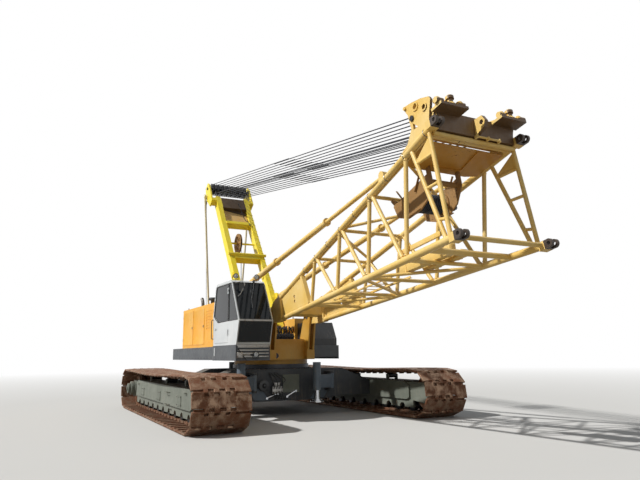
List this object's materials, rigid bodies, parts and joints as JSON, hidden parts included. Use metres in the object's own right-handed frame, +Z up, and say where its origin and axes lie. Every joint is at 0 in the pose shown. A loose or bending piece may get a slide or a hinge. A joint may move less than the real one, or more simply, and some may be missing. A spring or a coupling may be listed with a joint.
{
  "type": "crawler crane",
  "caption": "Crawler crane on two long tracks, its deck with cab, hoist drums, leaning A-frame and rope rigging that holds the foot section of a lattice boom with a cross-head at its end",
  "frame": {"origin": "on the ground, on the slewing axis", "axes": "+X forward along the boom, +Y to the machine's left, +Z up"},
  "size_m": [17.8222, 8.3, 9.4155],
  "materials": {
    "track_steel": "rusty cast steel, worn bright on the running faces",
    "undercarriage_paint": "weathered grey-green enamel, dusty",
    "bare_steel": "worn bare steel with oil film",
    "deck_paint": "grey deck enamel, scuffed",
    "body_yellow": "orange-yellow enamel, slightly faded",
    "mast_yellow": "lemon yellow enamel, slightly faded",
    "boom_cream": "pale cream-yellow enamel, chipped at the joints",
    "block_ochre": "ochre enamel, dirty",
    "dark_steel": "dark greased steel",
    "winch_brown": "old brown paint and grease",
    "cab_paint": "light grey-white enamel",
    "cab_glass": "dark tinted safety glass",
    "seat_vinyl": "black vinyl",
    "chrome_rod": "hard chromed rod",
    "wire_rope": "greased wire rope"
  },
  "bodies": {
    "undercarriage": {"car_body": "undercarriage_paint", "slew_ring": "dark_steel", "track_frames": "undercarriage_paint", "track_right": "track_steel", "track_left": "track_steel", "end_wheels": "bare_steel", "track_rollers": "bare_steel"},
    "superstructure": {"main_frame": "block_ochre", "side_decks": "deck_paint", "engine_housing": "body_yellow", "left_housing": "body_yellow", "engine_block": "dark_steel", "winch_frames": "deck_paint", "foot_pins": "bare_steel", "cab_shell": "cab_paint", "cab_glass": "cab_glass", "cab_seat": "seat_vinyl", "a_frame": "mast_yellow", "a_frame_sheaves": "dark_steel", "rear_ties": "boom_cream"},
    "cab_door": {"cab_door": "cab_paint", "door_glass": "cab_glass"},
    "hoist_drum_front": {"hoist_drum_front": "dark_steel"},
    "hoist_drum_rear": {"hoist_drum_rear": "dark_steel"},
    "guide_sheave": {"guide_sheave": "dark_steel"},
    "boom": {"boom_foot": "boom_cream", "boom_chords": "boom_cream", "side_lacing": "boom_cream", "face_lacing": "boom_cream", "boom_lugs": "bare_steel", "boom_top_plate": "block_ochre", "cross_head": "boom_cream", "cross_head_sheaves": "dark_steel", "boom_winch": "winch_brown"},
    "ropes_upper": {"ropes_upper": "wire_rope"},
    "ropes_lower": {"ropes_lower": "wire_rope"},
    "backstop_tubes": {"backstop_tubes": "boom_cream"},
    "backstop_rods": {"backstop_rods": "boom_cream"},
    "jack_arm_front_right": {"jack_arm_front_right": "undercarriage_paint"},
    "jack_rod_front_right": {"jack_rod_front_right": "chrome_rod"},
    "jack_arm_front_left": {"jack_arm_front_left": "undercarriage_paint"},
    "jack_rod_front_left": {"jack_rod_front_left": "chrome_rod"},
    "jack_arm_rear_right": {"jack_arm_rear_right": "undercarriage_paint"},
    "jack_rod_rear_right": {"jack_rod_rear_right": "chrome_rod"},
    "jack_arm_rear_left": {"jack_arm_rear_left": "undercarriage_paint"},
    "jack_rod_rear_left": {"jack_rod_rear_left": "chrome_rod"}
  },
  "joints": [
    {"name": "slew", "type": "hinge", "parent": "undercarriage", "child": "superstructure", "pos_m": [0, 0, 1.6], "axis": [0, 0, 1], "continuous": true},
    {"name": "cab_door_swing", "type": "hinge", "parent": "superstructure", "child": "cab_door", "pos_m": [2.326, -2.368, 3], "axis": [0, 0, 1], "range_deg": [0, 95]},
    {"name": "front_drum_turn", "type": "hinge", "parent": "superstructure", "child": "hoist_drum_front", "pos_m": [-1.75, 0, 2.9], "axis": [0, 1, 0], "continuous": true},
    {"name": "rear_drum_turn", "type": "hinge", "parent": "superstructure", "child": "hoist_drum_rear", "pos_m": [-3.45, 0, 2.9], "axis": [0, 1, 0], "continuous": true},
    {"name": "guide_sheave_turn", "type": "hinge", "parent": "superstructure", "child": "guide_sheave", "pos_m": [-3.18546, 0, 6.40411], "axis": [0, 1, 0], "continuous": true},
    {"name": "boom_luff", "type": "hinge", "parent": "superstructure", "child": "boom", "pos_m": [1.7, 0, 3.12], "axis": [0, -1, 0], "range_deg": [-11.8, 53.2]},
    {"name": "ropes_upper_turn", "type": "hinge", "parent": "superstructure", "child": "ropes_upper", "pos_m": [-5.05, 0, 9.15], "axis": [0, -1, 0], "range_deg": [-5.95, 26.7]},
    {"name": "ropes_lower_turn", "type": "hinge", "parent": "boom", "child": "ropes_lower", "pos_m": [10.07014, 0, 6.56445], "axis": [0, -1, 0], "range_deg": [-26.7, 5.95]},
    {"name": "backstop_tubes_turn", "type": "hinge", "parent": "superstructure", "child": "backstop_tubes", "pos_m": [-1.3, 0, 4.1], "axis": [0, -1, 0], "range_deg": [-9.15, 41.1]},
    {"name": "backstop_rods_slide", "type": "slide", "parent": "backstop_tubes", "child": "backstop_rods", "axis": [0.9858, 0, 0.1682], "range_m": [-1.96, 0.44]},
    {"name": "jack_swing_front_right", "type": "hinge", "parent": "undercarriage", "child": "jack_arm_front_right", "pos_m": [1.86, -1.35, 1.06], "axis": [0, 0, -1], "range_deg": [-105, 35]},
    {"name": "jack_lower_front_right", "type": "slide", "parent": "jack_arm_front_right", "child": "jack_rod_front_right", "axis": [0, 0, -1], "range_m": [0, 0.4]},
    {"name": "jack_swing_front_left", "type": "hinge", "parent": "undercarriage", "child": "jack_arm_front_left", "pos_m": [1.86, 1.35, 1.06], "axis": [0, 0, 1], "range_deg": [-2, 138]},
    {"name": "jack_lower_front_left", "type": "slide", "parent": "jack_arm_front_left", "child": "jack_rod_front_left", "axis": [0, 0, -1], "range_m": [0, 0.4]},
    {"name": "jack_swing_rear_right", "type": "hinge", "parent": "undercarriage", "child": "jack_arm_rear_right", "pos_m": [-1.86, -1.35, 1.06], "axis": [0, 0, 1], "range_deg": [-2, 138]},
    {"name": "jack_lower_rear_right", "type": "slide", "parent": "jack_arm_rear_right", "child": "jack_rod_rear_right", "axis": [0, 0, -1], "range_m": [0, 0.4]},
    {"name": "jack_swing_rear_left", "type": "hinge", "parent": "undercarriage", "child": "jack_arm_rear_left", "pos_m": [-1.86, 1.35, 1.06], "axis": [0, 0, -1], "range_deg": [-2, 138]},
    {"name": "jack_lower_rear_left", "type": "slide", "parent": "jack_arm_rear_left", "child": "jack_rod_rear_left", "axis": [0, 0, -1], "range_m": [0, 0.4]}
  ],
  "couplings": [
    {"joint": "ropes_upper_turn", "follows": "boom_luff", "ratio": 0.5},
    {"joint": "ropes_lower_turn", "follows": "boom_luff", "ratio": -0.5},
    {"joint": "backstop_tubes_turn", "follows": "boom_luff", "ratio": 0.77},
    {"joint": "backstop_rods_slide", "follows": "boom_luff", "m_per_rad": -2.1}
  ]
}
